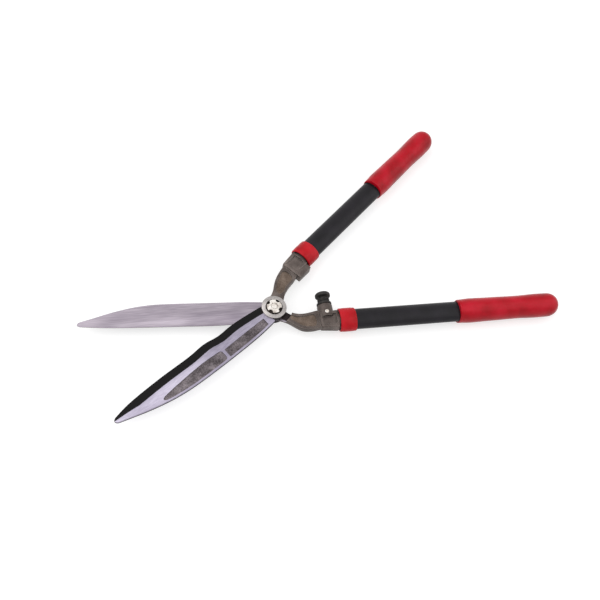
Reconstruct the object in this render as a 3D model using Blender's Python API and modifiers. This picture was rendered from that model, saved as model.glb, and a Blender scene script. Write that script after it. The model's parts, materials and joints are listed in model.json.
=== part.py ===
"""Hedge shears: two drop-forged halves crossed on a pivot bolt, each with an oval tube handle.

World frame: the pivot axis is Z, the outer face of the bolt head is Z = 0, and +X points from the
pivot to the handles, midway between them. The shears lie open, front half on top.

Each half is built in a frame of its own: origin on the pivot axis in the plane where the blades
meet, +X along its handle, +Y away from the other handle, +Z away from the other blade. The two
frames differ only by how they are placed, so the same functions build both halves.
"""
import math

import bmesh
import bpy
from mathutils import Matrix, Vector

MM = 0.001

# Fits
CLEARANCE = 0.3 * MM
OVERCUT = 2.0 * MM

# Whole tool
HANDLE_SPREAD = math.radians(41.6)
HANDLE_OFFSET = 22.9 * MM
AXIS_RISE = 1.9 * MM

# Blades: how far each leans outward from its handle's line, and its length from the pivot
FRONT_BLADE_LEAN = math.radians(9.0)
REAR_BLADE_LEAN = math.radians(0.6)
BLADE_LENGTH = 245.5 * MM
BLADE_ROOT_T = 6.0 * MM
BLADE_TIP_T = 2.6 * MM
BLADE_START = 11.0 * MM
EDGE_T = 0.7 * MM
BEVEL_WIDTH = 11.3 * MM
SPINE_CHAMFER = 0.8 * MM
NOSE_LENGTH = 4.0 * MM
PANEL_DEPTH = 0.9 * MM
PANEL_RIM = 2.6 * MM
THINNEST_PANEL = 0.8 * MM

# Hubs and pivot
HUB_RADIUS = 16.2 * MM
FRONT_HUB_T = 8.0 * MM
REAR_HUB_T = 6.6 * MM
SWING_RADIUS = 24.0 * MM
COUNTERBORE_RADIUS = 10.9 * MM
COUNTERBORE_DEPTH = 3.6 * MM
BOLT_HEAD_RADIUS = 9.5 * MM
BOLT_HEAD_T = 3.2 * MM
BOLT_RADIUS = 5.0 * MM
THREAD_RADIUS = 4.0 * MM
NECK_SIDE = 10.4 * MM
SPRING_WASHER_T = 1.0 * MM
PIVOT_WASHER_T = 1.0 * MM
FRICTION_WASHER_T = 0.8 * MM
FRICTION_WASHER_RADIUS = 9.0 * MM
NUT_T = 4.5 * MM
NUT_SIDE_GAP = 1.2 * MM
NUT_NOTCH_RADIUS = 3.0 * MM
NUT_NOTCH_TURN = math.radians(32)
BOLT_END_RISE = 0.6 * MM

# Arms and sockets
ARM_T = 8.6 * MM
ARM_ROUNDING = 1.2 * MM
ARM_PANEL_DEPTH = 1.3 * MM
SOCKET_START = 56.5 * MM
SOCKET_END = 82.0 * MM
SOCKET_HALF_W = 12.6 * MM
SOCKET_HALF_H = 7.6 * MM
SOCKET_TAPER_W = 1.8 * MM
SOCKET_TAPER_H = 1.2 * MM
SOCKET_ROUNDING = 2.6 * MM
SOCKET_PANEL_RIM = 3.6 * MM
SOCKET_PANEL_DEPTH = 0.8 * MM

# Handle tubes, collars, tangs, pins and grips
TUBE_HALF_W = 14.0 * MM
TUBE_HALF_H = 10.4 * MM
TUBE_WALL = 1.5 * MM
TANG_LENGTH = 38.0 * MM
TANG_PIN_RADIUS = 2.0 * MM
TANG_PIN_INSET = 11.0 * MM
COLLAR_LENGTH = 21.5 * MM
COLLAR_HALF_W = 16.0 * MM
COLLAR_HALF_H = 13.0 * MM
COLLAR_ROUNDING = 0.9 * MM
GRIP_START = 244.5 * MM
FRONT_GRIP_END = 383.5 * MM
REAR_GRIP_END = 389.0 * MM
GRIP_END_WALL = 12.0 * MM
PLUG_HEAD_T = 2.0 * MM
PLUG_LENGTH = 14.0 * MM

# Stop: anvil on the front half, rubber bumper on the rear half
ANVIL_START = 57.5 * MM
ANVIL_LENGTH = 22.0 * MM
ANVIL_FACE = 3.2 * MM
ANVIL_HALF_H = 6.4 * MM
BUMPER_STATION = 66.8 * MM
BOSS_RADIUS = 10.0 * MM
BOSS_FACE = 0.5 * MM
BOSS_ROUNDING = 1.8 * MM
BUMPER_FLANGE_RADIUS = 9.8 * MM
BUMPER_FLANGE_T = 2.8 * MM
BUMPER_NECK_RADIUS = 7.9 * MM
BUMPER_NECK_LENGTH = 5.6 * MM
BUMPER_WELL_DEPTH = 6.6 * MM
BUMPER_TRAVEL = 2.0 * MM
BUMPER_CAP_RADIUS = 10.0 * MM
BUMPER_CAP_T = 7.5 * MM
BUMPER_STEM_RADIUS = 4.6 * MM
STUD_RADIUS = 3.0 * MM
STUD_HEAD_RADIUS = 4.6 * MM
STUD_HEAD_T = 1.2 * MM
STUD_DEPTH = 16.0 * MM
LOCK_SCREW_RADIUS = 2.5 * MM
LOCK_SCREW_OFFSET = 13.0 * MM

# Outlines as (along, across) pairs; the curve between the points is smooth
FRONT_EDGE = [(8, 12.6), (31, 14.4), (58, 15.2), (81, 13.4), (101, 15.4), (126, 13.0), (171, 11.8),
              (220, 8.0), (246, 2.4)]
REAR_EDGE = [(8, 14.0), (40, 16.0), (75, 16.0), (116, 13.4), (174, 9.6), (214, 6.2), (246, 2.0)]
FRONT_SPINE = [(8, 14.6), (19, 16.4), (38, 18.8), (65, 20.7), (96, 22.1), (130, 22.9), (152, 22.5),
               (172, 20.8), (190, 17.8), (208, 13.9), (228, 8.5), (246, 3.5)]
REAR_SPINE = [(8, 11.6), (19, 12.8), (38, 14.8), (65, 16.2), (96, 18.1), (130, 19.9), (152, 20.5),
              (172, 19.3), (190, 16.5), (208, 12.7), (228, 7.4), (246, 3.1)]
# The panels' sides toward the cutting edge, and how far their corners are rounded
LONG_PANEL = [(91, -5.8), (118, -5.1), (144, -7.0), (170, -9.8), (185, -12.0)]
SHORT_PANEL = [(21, -3.9), (56, -5.4), (87, -7.2)]
LONG_PANEL_CORNER = 3.6 * MM
SHORT_PANEL_CORNER = 1.0 * MM
FRONT_ARM = [(4, 12.5), (12, 14.6), (21, 18.6), (31, 24.6), (46, 29.3), (58, 31.0), (66, 31.6),
             (67, 14.0), (55, 8.4), (37, 6.0), (26, 2.9), (17, -2.0), (9, -6.0)]
REAR_ARM = [(1.6, 13.9), (8.6, 17.1), (16.5, 21.1), (24.5, 27.2), (33.2, 32.7), (45, 34.3), (57, 32.8),
            (66, 32.4), (67, 14.0), (56, 9.0), (47, 10.4), (36, 11.8), (27, 10.8), (19, 7.2), (9, 0.0)]
# The recesses in the arms' faces, with a rim all round
FRONT_ARM_PANEL = [(20.3, 12.0), (22.5, 15.6), (32.2, 21.7), (42, 25.2), (49.6, 26.7), (51.4, 25.2),
                   (51.9, 13.2), (50.2, 10.9), (36.4, 9.1), (24.8, 6.2), (20.8, 7.4)]
REAR_ARM_PANEL = [(18.0, 13.4), (18.9, 17.2), (27, 24.2), (34.7, 29.2), (44, 30.8), (49.8, 30.2),
                  (51.5, 28.4), (51.5, 15.6), (49.8, 13.9), (46, 13.8), (36, 15.4), (26.1, 14.5), (19.6, 11.8)]
GRIP_PROFILE = [(0, 15.0, 16.0), (3, 15.5, 16.6), (18, 16.2, 17.3), (45, 15.7, 17.2), (88, 15.2, 17.0),
                (120, 15.8, 17.3), (135, 15.6, 17.0)]
GRIP_NOSE = 12.0 * MM
NOSE_SWEEP = math.radians(86)

# Levels that follow from the sizes above
HALF_GAP = CLEARANCE / 2
REAR_HUB_Z = BOLT_HEAD_T + SPRING_WASHER_T + 2 * CLEARANCE
MEETING_Z = REAR_HUB_Z + REAR_HUB_T + HALF_GAP
TANG_HALF_W = TUBE_HALF_W - TUBE_WALL - CLEARANCE
TANG_HALF_H = TUBE_HALF_H - TUBE_WALL - CLEARANCE
TUBE_START = SOCKET_END + CLEARANCE
TANG_PIN_STATION = TUBE_START + TANG_PIN_INSET
FRICTION_RECESS_DEPTH = FRICTION_WASHER_T + CLEARANCE
COUNTERBORE_FLOOR = HALF_GAP + FRONT_HUB_T - COUNTERBORE_DEPTH
PIVOT_WASHER_Z = MEETING_Z + COUNTERBORE_FLOOR + CLEARANCE
NUT_Z = PIVOT_WASHER_Z + PIVOT_WASHER_T + CLEARANCE
NUT_RADIUS = COUNTERBORE_RADIUS - NUT_SIDE_GAP

ROUND_STEPS = 32
OVAL_STEPS = 32
BLADE_STATIONS = 30
OUTLINE_STEPS = 5
CORNER_STEPS = 5
PANEL_STEPS = 12


# ---------------------------------------------------------------- scene and materials

def clear_scene():
    for obj in list(bpy.data.objects):
        bpy.data.objects.remove(obj, do_unlink=True)


def new_collection(name):
    collection = bpy.data.collections.new(name)
    bpy.context.scene.collection.children.link(collection)
    return collection


def make_material(name, colour, roughness, metallic):
    material = bpy.data.materials.new(name)
    material.use_nodes = True
    shader = material.node_tree.nodes["Principled BSDF"]
    shader.inputs["Base Color"].default_value = (*colour, 1.0)
    shader.inputs["Roughness"].default_value = roughness
    shader.inputs["Metallic"].default_value = metallic
    return material


clear_scene()
PARTS = new_collection("hedge_shears")
CUTTERS = new_collection("cutters")

FORGED_STEEL = ((0.16, 0.14, 0.13), 0.45, 1.0)
BRIGHT_STEEL = ((0.75, 0.73, 0.70), 0.30, 1.0)
BLACK_PAINT = ((0.012, 0.012, 0.014), 0.40, 0.0)
RED_PLASTIC = ((0.50, 0.010, 0.020), 0.45, 0.0)
BLACK_PLASTIC = ((0.02, 0.02, 0.02), 0.50, 0.0)
BLACK_RUBBER = ((0.012, 0.012, 0.012), 0.70, 0.0)
BRASS = ((0.60, 0.42, 0.16), 0.35, 1.0)


# ---------------------------------------------------------------- shape helpers

def add_object(name, mesh, matrix, collection):
    obj = bpy.data.objects.new(name, mesh)
    obj.matrix_world = matrix
    collection.objects.link(obj)
    return obj


def from_bmesh(name, bm, matrix=None):
    """A solid from a finished bmesh, facing out, kept in the cutters until it is named a part."""
    bmesh.ops.recalc_face_normals(bm, faces=bm.faces)
    if bm.calc_volume(signed=True) < 0:
        bmesh.ops.reverse_faces(bm, faces=bm.faces)
    mesh = bpy.data.meshes.new(name)
    bm.to_mesh(mesh)
    bm.free()
    obj = add_object(name, mesh, matrix or Matrix(), CUTTERS)
    obj.hide_render = True
    obj.display_type = "WIRE"
    return obj


def box(name, low, high):
    bm = bmesh.new()
    size = [b - a for a, b in zip(low, high)]
    centre = Vector([(a + b) / 2 for a, b in zip(low, high)])
    bmesh.ops.create_cube(bm, size=1.0, matrix=Matrix.Translation(centre) @ Matrix.Diagonal((*size, 1.0)))
    return from_bmesh(name, bm)


def rod(name, start, end, half_w, half_h=None, steps=ROUND_STEPS):
    """A straight rod of round or oval section, from start to end; half_w lies across, half_h up."""
    start, end = Vector(start), Vector(end)
    along = end - start
    depth = along.length
    direction = along.normalized()
    up = Vector((0, 0, 1)) if abs(direction.z) < 0.9 else Vector((1, 0, 0))
    across = up.cross(direction).normalized()
    turn = Matrix((across, direction.cross(across), direction)).transposed().to_4x4()
    bm = bmesh.new()
    bmesh.ops.create_cone(bm, cap_ends=True, segments=steps, radius1=1.0, radius2=1.0, depth=depth)
    bm.transform(Matrix.Diagonal((half_w, half_h or half_w, 1.0, 1.0)))
    bm.transform(Matrix.Translation((start + end) / 2) @ turn)
    return from_bmesh(name, bm)


def loft(name, rings):
    """A closed solid through rings of equal point counts, capped flat at both ends."""
    bm = bmesh.new()
    loops = [[bm.verts.new(point) for point in ring] for ring in rings]
    for one, two in zip(loops, loops[1:]):
        for i in range(len(one)):
            j = (i + 1) % len(one)
            bm.faces.new((one[i], one[j], two[j], two[i]))
    bm.faces.new(loops[0])
    bm.faces.new(loops[-1])
    return from_bmesh(name, bm)


def plate(name, outline, low, high):
    """A flat plate between two levels, from a smooth closed outline in the XY plane."""
    curve = bpy.data.curves.new(name, "CURVE")
    curve.dimensions = "2D"
    curve.fill_mode = "BOTH"
    curve.extrude = (high - low) / 2
    curve.resolution_u = OUTLINE_STEPS
    spline = curve.splines.new("BEZIER")
    spline.bezier_points.add(len(outline) - 1)
    for point, (x, y) in zip(spline.bezier_points, outline):
        point.co = (x, y, 0.0)
        point.handle_left_type = "AUTO"
        point.handle_right_type = "AUTO"
    spline.use_cyclic_u = True
    curve_object = add_object(name + "_curve", curve, Matrix.Translation((0, 0, (low + high) / 2)), CUTTERS)
    bpy.context.view_layer.update()
    evaluated = curve_object.evaluated_get(bpy.context.evaluated_depsgraph_get())
    mesh = bpy.data.meshes.new_from_object(evaluated)
    bm = bmesh.new()
    bm.from_mesh(mesh)
    bmesh.ops.remove_doubles(bm, verts=bm.verts, dist=0.00001)
    bm.transform(curve_object.matrix_world)
    bpy.data.objects.remove(curve_object, do_unlink=True)
    return from_bmesh(name, bm)


def turned(name, profile, matrix=None, steps=ROUND_STEPS):
    """A turned solid about Z; the profile is (radius, height) pairs, top to bottom on its outer side."""
    mesh = bpy.data.meshes.new(name)
    points = [(radius, 0.0, height) for radius, height in profile]
    closed = profile[0][0] > 0
    edges = [(i, i + 1) for i in range(len(points) - 1)]
    if closed:
        edges.append((len(points) - 1, 0))
    mesh.from_pydata(points, edges, [])
    obj = add_object(name, mesh, matrix or Matrix(), CUTTERS)
    obj.hide_render = True
    obj.display_type = "WIRE"
    screw = obj.modifiers.new("turn", "SCREW")
    screw.steps = steps
    screw.render_steps = steps
    screw.use_merge_vertices = True
    screw.merge_threshold = 0.00001
    return obj


def boolean(obj, tool, operation):
    modifier = obj.modifiers.new(operation.lower() + "_" + tool.name, "BOOLEAN")
    modifier.operation = operation
    modifier.solver = "EXACT"
    modifier.object = tool


def join(obj, *tools):
    for tool in tools:
        boolean(obj, tool, "UNION")


def cut(obj, *tools):
    for tool in tools:
        boolean(obj, tool, "DIFFERENCE")


def round_edges(obj, width, segments=2, angle=35):
    bevel = obj.modifiers.new("rounding", "BEVEL")
    bevel.width = width
    bevel.segments = segments
    bevel.limit_method = "ANGLE"
    bevel.angle_limit = math.radians(angle)
    return obj


def make_part(obj, name, finish, parent=None, smooth_angle=35):
    """Names a solid as a part, gives it its own material and moves it out of the cutters."""
    obj.name = name
    obj.data.name = name
    obj.data.materials.clear()
    obj.data.materials.append(make_material(name, *finish))
    obj.data.shade_smooth()
    obj.data.set_sharp_from_angle(angle=math.radians(smooth_angle))
    CUTTERS.objects.unlink(obj)
    PARTS.objects.link(obj)
    obj.hide_render = False
    obj.display_type = "TEXTURED"
    if parent:
        obj.parent = parent
    return obj


def curve_through(points):
    """A smooth function through (x, y) pairs given in millimetres; takes and gives metres."""
    xs = [x * MM for x, _ in points]
    ys = [y * MM for _, y in points]
    last = len(xs) - 1
    slopes = []
    for i in range(last + 1):
        a, b = max(i - 1, 0), min(i + 1, last)
        slopes.append((ys[b] - ys[a]) / (xs[b] - xs[a]))

    def value(x):
        i = max(k for k in range(last) if k == 0 or xs[k] <= x)
        span = xs[i + 1] - xs[i]
        t = min(max((x - xs[i]) / span, 0.0), 1.0)
        rise = (ys[i + 1] - ys[i]) * t * t * (3 - 2 * t)
        return ys[i] + rise + span * t * (1 - t) * ((1 - t) * slopes[i] - t * slopes[i + 1])

    return value


# ---------------------------------------------------------------- the two halves' frames

class Half:
    """One half of the shears: where it sits, and the sizes in which it differs from the other."""

    def __init__(self, name, turn, flipped, lean, edge, spine, arm, arm_panel, hub_t, grip_end):
        self.name = name
        self.lean = lean
        self.edge = edge
        self.spine = spine
        self.arm = [(x * MM, y * MM) for x, y in arm]
        self.arm_panel = [(x * MM, y * MM) for x, y in arm_panel]
        self.hub_t = hub_t
        self.grip_end = grip_end
        self.tube_end = grip_end - GRIP_END_WALL
        self.axis_z = -AXIS_RISE if flipped else AXIS_RISE
        flip = Matrix.Rotation(math.pi, 4, "X") if flipped else Matrix()
        self.empty = bpy.data.objects.new(name + "_half", None)
        self.empty.matrix_world = Matrix.Translation((0, 0, MEETING_Z)) @ Matrix.Rotation(turn, 4, "Z") @ flip
        PARTS.objects.link(self.empty)

    def place(self, obj):
        """Moves a solid built in this half's frame to its place."""
        obj.parent = self.empty
        return obj

    def on_handle(self, along, across=0.0, up=0.0):
        """A point of the handle's axis, in this half's frame."""
        return Vector((along, HANDLE_OFFSET + across, self.axis_z + up))


# ---------------------------------------------------------------- blades

def blade_widths(half, station):
    """Cutting edge and spine offsets from the blade's line, with a rounded nose at the tip."""
    edge = curve_through(half.edge)(station)
    spine = curve_through(half.spine)(station)
    into_nose = (station - BLADE_LENGTH + NOSE_LENGTH) / NOSE_LENGTH
    if into_nose > 0:
        middle = (edge - spine) / 2
        keep = max(math.sqrt(max(1 - into_nose ** 2, 0.0)), 0.25)
        edge = middle + (edge - middle) * keep
        spine = -middle + (spine + middle) * keep
    return edge, spine


def blade_thickness(station):
    share = station / BLADE_LENGTH
    return BLADE_ROOT_T + (BLADE_TIP_T - BLADE_ROOT_T) * share


def blade_point(half, station, offset, level):
    """From along-the-blade, toward-the-cutting-edge and level, to this half's frame."""
    cos, sin = math.cos(half.lean), math.sin(half.lean)
    return Vector((-station * cos + offset * sin, station * sin + offset * cos, level))


def blade_section(half, station):
    edge, spine = blade_widths(half, station)
    thickness = blade_thickness(station)
    bevel = min(BEVEL_WIDTH, 0.5 * (edge + spine))
    low, top = HALF_GAP, HALF_GAP + thickness
    chamfer = min(SPINE_CHAMFER, 0.3 * thickness, 0.2 * (edge + spine))
    section = [(edge, low), (edge, low + EDGE_T), (edge - bevel, top), (-spine + chamfer, top),
               (-spine, top - chamfer), (-spine, low)]
    return [blade_point(half, station, offset, level) for offset, level in section]


def blade_stations():
    """Even along the blade, then close together round the nose."""
    straight = BLADE_LENGTH - NOSE_LENGTH - BLADE_START
    even = [BLADE_START + straight * i / BLADE_STATIONS for i in range(BLADE_STATIONS)]
    nose = [BLADE_LENGTH - NOSE_LENGTH * math.cos(math.pi / 2 * i / 6) for i in range(7)]
    return even + nose


def panel_stations(start, end, corner):
    """Close together where the corners are round, even between them."""
    turns = [corner * (1 - math.cos(math.pi / 2 * i / CORNER_STEPS)) for i in range(CORNER_STEPS)]
    middle = [start + corner + (end - start - 2 * corner) * i / PANEL_STEPS for i in range(PANEL_STEPS + 1)]
    return [start + turn for turn in turns] + middle + [end - turn for turn in reversed(turns)]


def blade_panel(half, name, side, radius):
    """The cutter for a recess in the blade's outer face, with a rim between it and the spine."""
    start, end = side[0][0] * MM, side[-1][0] * MM
    toward_edge = curve_through(side)
    rings = []
    for station in panel_stations(start, end, radius):
        _, spine = blade_widths(half, station)
        into = min(station - start, end - station)
        corner = radius - math.sqrt(max(radius ** 2 - max(radius - into, 0) ** 2, 0))
        high = toward_edge(station) - corner
        low = -spine + PANEL_RIM + corner
        floor = HALF_GAP + blade_thickness(station) - PANEL_DEPTH
        ceiling = HALF_GAP + BLADE_ROOT_T + OVERCUT
        corners = [(max(high, low + THINNEST_PANEL), floor), (max(high, low + THINNEST_PANEL), ceiling),
                   (low, ceiling), (low, floor)]
        rings.append([blade_point(half, station, offset, level) for offset, level in corners])
    return half.place(loft(half.name + name, rings))


# ---------------------------------------------------------------- forged halves

def arm_solid(half):
    low, high = half.axis_z - ARM_T / 2, half.axis_z + ARM_T / 2
    arm = plate(half.name + "_arm", half.arm, low, high)
    return half.place(round_edges(arm, ARM_ROUNDING, angle=60))


def arm_panels(half):
    """Cutters for the recesses in both faces of the arm, clear of the hub and the socket."""
    top = half.axis_z + ARM_T / 2
    bottom = half.axis_z - ARM_T / 2
    levels = [(top - ARM_PANEL_DEPTH, top + OVERCUT), (bottom - OVERCUT, bottom + ARM_PANEL_DEPTH)]
    panels = []
    for number, (low, high) in enumerate(levels):
        panel = plate(half.name + "_arm_panel_%d" % number, half.arm_panel, low, high)
        panels.append(half.place(panel))
    return panels


def socket_solid(half):
    """A block that widens toward the tube, so that the arm's outline runs on into it."""
    rings = []
    for along, taper_w, taper_h in ((SOCKET_START, SOCKET_TAPER_W, SOCKET_TAPER_H), (SOCKET_END, 0, 0)):
        width, height = SOCKET_HALF_W - taper_w, SOCKET_HALF_H - taper_h
        corners = [(-width, -height), (width, -height), (width, height), (-width, height)]
        rings.append([half.on_handle(along, across, up) for across, up in corners])
    return half.place(round_edges(loft(half.name + "_socket", rings), SOCKET_ROUNDING, 3))


def socket_panels(half):
    panels = []
    width = SOCKET_HALF_W - SOCKET_TAPER_W - SOCKET_PANEL_RIM
    for number, side in enumerate((1, -1)):
        floor = side * (SOCKET_HALF_H - SOCKET_TAPER_H - SOCKET_PANEL_DEPTH)
        outside = side * (SOCKET_HALF_H + OVERCUT)
        low = half.on_handle(SOCKET_START + SOCKET_PANEL_RIM, -width, min(floor, outside))
        high = half.on_handle(SOCKET_END - SOCKET_PANEL_RIM, width, max(floor, outside))
        panels.append(half.place(box(half.name + "_socket_panel_%d" % number, low, high)))
    return panels


def tang_solid(half):
    start = half.on_handle(SOCKET_END - 4 * MM)
    end = half.on_handle(SOCKET_END + TANG_LENGTH)
    return half.place(rod(half.name + "_tang", start, end, TANG_HALF_W, TANG_HALF_H, OVAL_STEPS))


def hub_solid(half):
    hub = rod(half.name + "_hub", (0, 0, HALF_GAP), (0, 0, HALF_GAP + half.hub_t), HUB_RADIUS, steps=64)
    return half.place(round_edges(hub, 0.7 * MM))


def swing_cutter(half):
    """Clears the other half's hub and blade root below this half's meeting plane."""
    low = half.axis_z - ARM_T - OVERCUT
    return half.place(rod(half.name + "_swing", (0, 0, low), (0, 0, HALF_GAP), SWING_RADIUS, steps=72))


def hub_face_cutter(half):
    """Keeps the arm from rising above the hub's face."""
    low = HALF_GAP + half.hub_t
    return half.place(rod(half.name + "_hub_face", (0, 0, low), (0, 0, low + 10 * MM), HUB_RADIUS, steps=64))


def tang_pin_hole(half, name, radius, reach):
    start = half.on_handle(TANG_PIN_STATION, 0, -reach)
    end = half.on_handle(TANG_PIN_STATION, 0, reach)
    return half.place(rod(half.name + name, start, end, radius, steps=24))


def forging(half):
    """Blade, hub, arm, socket and tang as one body, with the recesses cut in."""
    body = half.place(loft(half.name + "_blade_body", [blade_section(half, s) for s in blade_stations()]))
    join(body, hub_solid(half), arm_solid(half), socket_solid(half), tang_solid(half))
    cut(body, swing_cutter(half), hub_face_cutter(half))
    cut(body, blade_panel(half, "_long_panel", LONG_PANEL, LONG_PANEL_CORNER))
    cut(body, blade_panel(half, "_short_panel", SHORT_PANEL, SHORT_PANEL_CORNER))
    cut(body, *arm_panels(half), *socket_panels(half))
    cut(body, tang_pin_hole(half, "_tang_hole", TANG_PIN_RADIUS + CLEARANCE, TUBE_HALF_H))
    return body


def front_forging(half):
    body = forging(half)
    low = half.on_handle(ANVIL_START, ANVIL_FACE - HANDLE_OFFSET, -ANVIL_HALF_H)
    high = half.on_handle(ANVIL_START + ANVIL_LENGTH, -SOCKET_HALF_W + 5 * MM, ANVIL_HALF_H)
    anvil = half.place(round_edges(box("anvil", low, high), 0.9 * MM))
    top = HALF_GAP + half.hub_t
    bore = rod("front_bore", (0, 0, -OVERCUT), (0, 0, top + OVERCUT), BOLT_RADIUS + CLEARANCE)
    counterbore = rod("counterbore", (0, 0, COUNTERBORE_FLOOR), (0, 0, top + 5 * MM), COUNTERBORE_RADIUS,
                      steps=56)
    recess = rod("friction_recess", (0, 0, -OVERCUT), (0, 0, HALF_GAP + FRICTION_RECESS_DEPTH),
                 FRICTION_WASHER_RADIUS + CLEARANCE)
    join(body, anvil)
    cut(body, *[half.place(tool) for tool in (bore, counterbore, recess)])
    return make_part(body, "front_blade", FORGED_STEEL, half.empty)


def bumper_matrix(half):
    """Frame of the bumper: origin on the handle's axis, +Z toward the other handle."""
    return Matrix.Translation(half.on_handle(BUMPER_STATION)) @ Matrix.Rotation(math.pi / 2, 4, "X")


def rear_forging(half):
    body = forging(half)
    reach = HANDLE_OFFSET - BOSS_FACE
    boss = turned("bumper_boss", [(0, reach), (BOSS_RADIUS - BOSS_ROUNDING, reach),
                                  (BOSS_RADIUS - BOSS_ROUNDING * 0.3, reach - BOSS_ROUNDING * 0.3),
                                  (BOSS_RADIUS, reach - BOSS_ROUNDING), (BOSS_RADIUS, 4 * MM), (0, 4 * MM)],
                  bumper_matrix(half))
    stud_hole = turned("stud_hole", [(0, reach + OVERCUT), (STUD_RADIUS + CLEARANCE, reach + OVERCUT),
                                     (STUD_RADIUS + CLEARANCE, reach - STUD_DEPTH - CLEARANCE),
                                     (0, reach - STUD_DEPTH - CLEARANCE)], bumper_matrix(half), 24)
    side = NECK_SIDE / 2 + CLEARANCE
    neck_hole = box("neck_hole", (-side, -side, -OVERCUT), (side, side, half.hub_t + OVERCUT))
    join(body, half.place(boss))
    cut(body, half.place(stud_hole), half.place(neck_hole), lock_screw_hole(half))
    return make_part(body, "rear_blade", FORGED_STEEL, half.empty)


def lock_screw_span(half):
    """The set screw stands on the boss's upper side, across the stud; start is its inner end."""
    across = LOCK_SCREW_OFFSET - HANDLE_OFFSET
    inner = half.on_handle(BUMPER_STATION, across, -(STUD_RADIUS + CLEARANCE))
    outer = half.on_handle(BUMPER_STATION, across, -(BOSS_RADIUS - 0.4 * MM))
    return inner, outer


def lock_screw_hole(half):
    inner, outer = lock_screw_span(half)
    middle = half.on_handle(BUMPER_STATION, LOCK_SCREW_OFFSET - HANDLE_OFFSET)
    beyond = outer + (outer - inner)
    return half.place(rod("lock_screw_hole", middle, beyond, LOCK_SCREW_RADIUS + CLEARANCE, steps=24))


# ---------------------------------------------------------------- handles

def handle_tube(half):
    start, end = half.on_handle(TUBE_START), half.on_handle(half.tube_end)
    reach = Vector((OVERCUT, 0, 0))
    tube = half.place(rod(half.name + "_tube_body", start, end, TUBE_HALF_W, TUBE_HALF_H, OVAL_STEPS))
    bore = rod(half.name + "_tube_bore", start - reach, end + reach, TUBE_HALF_W - TUBE_WALL,
               TUBE_HALF_H - TUBE_WALL, OVAL_STEPS)
    cut(tube, half.place(bore))
    cut(tube, tang_pin_hole(half, "_tube_hole", TANG_PIN_RADIUS + CLEARANCE, TUBE_HALF_H + OVERCUT))
    return make_part(tube, half.name + "_tube", BLACK_PAINT, half.empty)


def tang_pin(half):
    pin = tang_pin_hole(half, "_pin_body", TANG_PIN_RADIUS, TUBE_HALF_H - 0.2 * MM)
    return make_part(pin, half.name + "_tang_pin", BRIGHT_STEEL, half.empty)


def handle_collar(half):
    start, end = half.on_handle(TUBE_START), half.on_handle(TUBE_START + COLLAR_LENGTH)
    reach = Vector((OVERCUT, 0, 0))
    collar = rod(half.name + "_collar_body", start, end, COLLAR_HALF_W, COLLAR_HALF_H, OVAL_STEPS)
    round_edges(half.place(collar), COLLAR_ROUNDING)
    bore = rod(half.name + "_collar_bore", start - reach, end + reach, TUBE_HALF_W + CLEARANCE,
               TUBE_HALF_H + CLEARANCE, OVAL_STEPS)
    cut(collar, half.place(bore))
    return make_part(collar, half.name + "_collar", RED_PLASTIC, half.empty)


def oval_ring(centre, half_w, half_h, steps=OVAL_STEPS):
    ring = []
    for i in range(steps):
        angle = 2 * math.pi * i / steps
        ring.append(centre + Vector((0, half_w * math.cos(angle), half_h * math.sin(angle))))
    return ring


def grip_rings(half):
    """Sections along the grip: the gently waisted barrel, then a rounded end."""
    length = half.grip_end - GRIP_START
    scale = (length - GRIP_NOSE) / (GRIP_PROFILE[-1][0] * MM)
    width = curve_through([(x, w) for x, w, _ in GRIP_PROFILE])
    height = curve_through([(x, h) for x, _, h in GRIP_PROFILE])
    stations = [0.0, 0.8 * MM, 3 * MM] + [12 * MM * i for i in range(1, 11)]
    rings = []
    for number, station in enumerate(stations):
        centre = half.on_handle(GRIP_START + station * scale)
        lip = 0.7 * MM if number == 0 else 0.0
        rings.append(oval_ring(centre, width(station) - lip, height(station) - lip))
    end_w, end_h = GRIP_PROFILE[-1][1] * MM, GRIP_PROFILE[-1][2] * MM
    for i in range(7):
        angle = NOSE_SWEEP * i / 6
        reach = GRIP_NOSE * math.sin(angle) / math.sin(NOSE_SWEEP)
        centre = half.on_handle(half.grip_end - GRIP_NOSE + reach)
        inset = 1 - math.cos(angle)
        rings.append(oval_ring(centre, end_w - GRIP_NOSE * inset, end_h - GRIP_NOSE * inset))
    return rings


def handle_grip(half):
    grip = half.place(loft(half.name + "_grip_body", grip_rings(half)))
    start = half.on_handle(GRIP_START - OVERCUT)
    end = half.on_handle(half.tube_end + PLUG_HEAD_T + 2 * CLEARANCE)
    bore = rod(half.name + "_grip_bore", start, end, TUBE_HALF_W + CLEARANCE, TUBE_HALF_H + CLEARANCE, OVAL_STEPS)
    cut(grip, half.place(bore))
    return make_part(grip, half.name + "_grip", RED_PLASTIC, half.empty)


def tube_plug(half):
    """A plug pushed into the tube's end, with a head as wide as the tube."""
    inset = TUBE_WALL + CLEARANCE
    head_low = half.tube_end + CLEARANCE
    shank_span = half.on_handle(half.tube_end - PLUG_LENGTH), half.on_handle(head_low + PLUG_HEAD_T / 2)
    head_span = half.on_handle(head_low), half.on_handle(head_low + PLUG_HEAD_T)
    shank = rod(half.name + "_plug_shank", *shank_span, TUBE_HALF_W - inset, TUBE_HALF_H - inset, OVAL_STEPS)
    head = rod(half.name + "_plug_head", *head_span, TUBE_HALF_W, TUBE_HALF_H, OVAL_STEPS)
    join(half.place(shank), half.place(head))
    return make_part(shank, half.name + "_tube_plug", BLACK_PLASTIC, half.empty)


# ---------------------------------------------------------------- pivot hardware

def washer(name, low, thickness, outer, inner, finish):
    high = low + thickness
    ring = turned(name, [(outer, high), (outer, low), (inner, low), (inner, high)])
    return make_part(ring, name, finish)


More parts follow.
